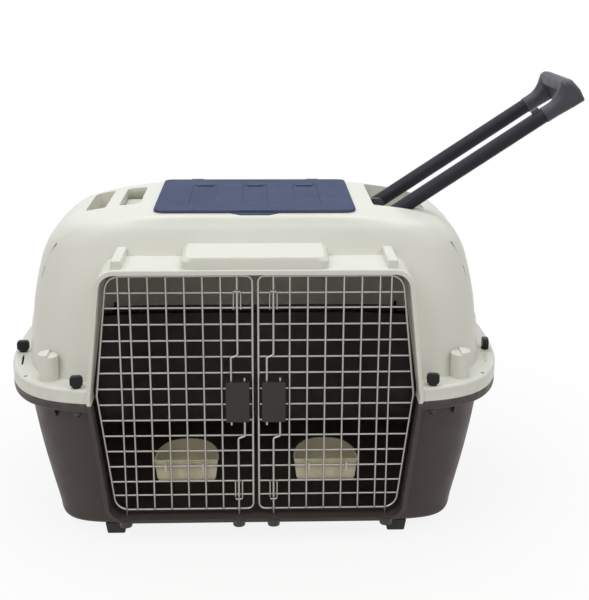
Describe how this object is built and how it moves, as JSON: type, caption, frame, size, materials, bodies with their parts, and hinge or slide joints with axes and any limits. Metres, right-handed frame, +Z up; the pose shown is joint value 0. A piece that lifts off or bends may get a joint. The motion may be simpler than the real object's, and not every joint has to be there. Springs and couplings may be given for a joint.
{
  "type": "pet carrier",
  "caption": "Two-part plastic pet carrier with wire double doors and sliding latches, clip-on cups, a lidded roof tray and a tilting pull handle.",
  "frame": {"origin": "bottom centre of the whole object's box, on the floor, with the pull handle as it rests", "axes": "+X to the right as seen from in front of the doors, towards the pull handle's end; +Y from the doors to the back; +Z up"},
  "size_m": [0.8712, 0.4874, 0.659],
  "materials": {
    "ivory_plastic": "smooth moulded, light sheen",
    "taupe_plastic": "fine grained moulding",
    "slate_plastic": "fine grained moulding",
    "tray_plastic": "smooth moulded",
    "charcoal_metal": "satin coated tube",
    "charcoal_plastic": "satin moulded",
    "wire_steel": "dull plated wire",
    "latch_plastic": "satin moulded",
    "cup_plastic": "smooth moulded",
    "black_plastic": "semi-gloss moulded",
    "black_rubber": "matt",
    "zinc_steel": "zinc plated"
  },
  "bodies": {
    "shell": {"base_shell": "taupe_plastic", "top_shell": "ivory_plastic", "storage_tray": "tray_plastic", "lid_hinge_block_left": "slate_plastic", "lid_hinge_block_right": "slate_plastic", "lid_hinge_pin_left": "zinc_steel", "lid_hinge_pin_right": "zinc_steel", "handle_bracket_front": "charcoal_plastic", "handle_bracket_rear": "charcoal_plastic", "foot_front_left": "black_rubber", "foot_front_right": "black_rubber", "foot_rear_left": "black_rubber", "foot_rear_right": "black_rubber", "rim_nut_1": "zinc_steel", "rim_nut_2": "zinc_steel", "rim_nut_3": "zinc_steel", "rim_nut_4": "zinc_steel", "rim_nut_5": "zinc_steel", "rim_nut_6": "zinc_steel", "rim_nut_7": "zinc_steel", "rim_nut_8": "zinc_steel"},
    "door_left": {"door_left": "wire_steel", "latch_housing_left": "latch_plastic", "latch_back_plate_left": "latch_plastic"},
    "rod_upper_left": {"latch_rod_upper_left": "wire_steel"},
    "rod_lower_left": {"latch_rod_lower_left": "wire_steel"},
    "bowl_left": {"bowl_left": "cup_plastic"},
    "door_right": {"door_right": "wire_steel", "latch_housing_right": "latch_plastic", "latch_back_plate_right": "latch_plastic"},
    "rod_upper_right": {"latch_rod_upper_right": "wire_steel"},
    "rod_lower_right": {"latch_rod_lower_right": "wire_steel"},
    "bowl_right": {"bowl_right": "cup_plastic"},
    "lid": {"lid": "slate_plastic"},
    "handle": {"handle_tube_front": "charcoal_metal", "handle_tube_rear": "charcoal_metal", "handle_grip": "charcoal_plastic", "handle_axle": "zinc_steel"},
    "handle_button": {"handle_button": "charcoal_plastic"},
    "knob_1": {"knob_1": "black_plastic"},
    "knob_2": {"knob_2": "black_plastic"},
    "knob_3": {"knob_3": "black_plastic"},
    "knob_4": {"knob_4": "black_plastic"},
    "knob_5": {"knob_5": "black_plastic"},
    "knob_6": {"knob_6": "black_plastic"},
    "knob_7": {"knob_7": "black_plastic"},
    "knob_8": {"knob_8": "black_plastic"}
  },
  "joints": [
    {"name": "door_left_hinge", "type": "hinge", "parent": "shell", "child": "door_left", "pos_m": [-0.25055, -0.21981, 0.047], "axis": [0, 0, -1], "range_deg": [0, 110]},
    {"name": "latch_rod_upper_left_slide", "type": "slide", "parent": "door_left", "child": "rod_upper_left", "axis": [0, 0, 1], "range_m": [0, 0.008]},
    {"name": "latch_rod_lower_left_slide", "type": "slide", "parent": "door_left", "child": "rod_lower_left", "axis": [0, 0, -1], "range_m": [0, 0.008]},
    {"name": "bowl_left_lift", "type": "slide", "parent": "door_left", "child": "bowl_left", "axis": [0, 0, 1], "range_m": [0, 0.012]},
    {"name": "door_right_hinge", "type": "hinge", "parent": "shell", "child": "door_right", "pos_m": [0.13265, -0.21981, 0.047], "axis": [0, 0, 1], "range_deg": [0, 110]},
    {"name": "latch_rod_upper_right_slide", "type": "slide", "parent": "door_right", "child": "rod_upper_right", "axis": [0, 0, 1], "range_m": [0, 0.008]},
    {"name": "latch_rod_lower_right_slide", "type": "slide", "parent": "door_right", "child": "rod_lower_right", "axis": [0, 0, -1], "range_m": [0, 0.008]},
    {"name": "bowl_right_lift", "type": "slide", "parent": "door_right", "child": "bowl_right", "axis": [0, 0, 1], "range_m": [0, 0.012]},
    {"name": "lid_hinge", "type": "hinge", "parent": "shell", "child": "lid", "pos_m": [-0.05895, 0.12229, 0.47555], "axis": [-1, 0, 0], "range_deg": [0, 100]},
    {"name": "handle_pivot", "type": "hinge", "parent": "shell", "child": "handle", "pos_m": [0.13805, 0.01629, 0.446], "axis": [0, -1, 0], "range_deg": [0, 60]},
    {"name": "handle_button_press", "type": "slide", "parent": "handle", "child": "handle_button", "axis": [0.5563, 0, -0.831], "range_m": [0, 0.003], "stiffness_N_per_m": 300, "springref_m": -0.002},
    {"name": "knob_1_turn", "type": "hinge", "parent": "shell", "child": "knob_1", "pos_m": [-0.31395, -0.22371, 0.243], "axis": [0, 0, 1], "continuous": true},
    {"name": "knob_2_turn", "type": "hinge", "parent": "shell", "child": "knob_2", "pos_m": [0.19605, -0.22371, 0.243], "axis": [0, 0, 1], "continuous": true},
    {"name": "knob_3_turn", "type": "hinge", "parent": "shell", "child": "knob_3", "pos_m": [-0.41995, -0.06771, 0.243], "axis": [0, 0, 1], "continuous": true},
    {"name": "knob_4_turn", "type": "hinge", "parent": "shell", "child": "knob_4", "pos_m": [0.30205, -0.06771, 0.243], "axis": [0, 0, 1], "continuous": true},
    {"name": "knob_5_turn", "type": "hinge", "parent": "shell", "child": "knob_5", "pos_m": [-0.41995, 0.07229, 0.243], "axis": [0, 0, 1], "continuous": true},
    {"name": "knob_6_turn", "type": "hinge", "parent": "shell", "child": "knob_6", "pos_m": [0.30205, 0.07229, 0.243], "axis": [0, 0, 1], "continuous": true},
    {"name": "knob_7_turn", "type": "hinge", "parent": "shell", "child": "knob_7", "pos_m": [-0.31395, 0.22829, 0.243], "axis": [0, 0, 1], "continuous": true},
    {"name": "knob_8_turn", "type": "hinge", "parent": "shell", "child": "knob_8", "pos_m": [0.19605, 0.22829, 0.243], "axis": [0, 0, 1], "continuous": true}
  ],
  "couplings": [
    {"joint": "latch_rod_lower_left_slide", "follows": "latch_rod_upper_left_slide", "ratio": 1},
    {"joint": "latch_rod_lower_right_slide", "follows": "latch_rod_upper_right_slide", "ratio": 1}
  ]
}
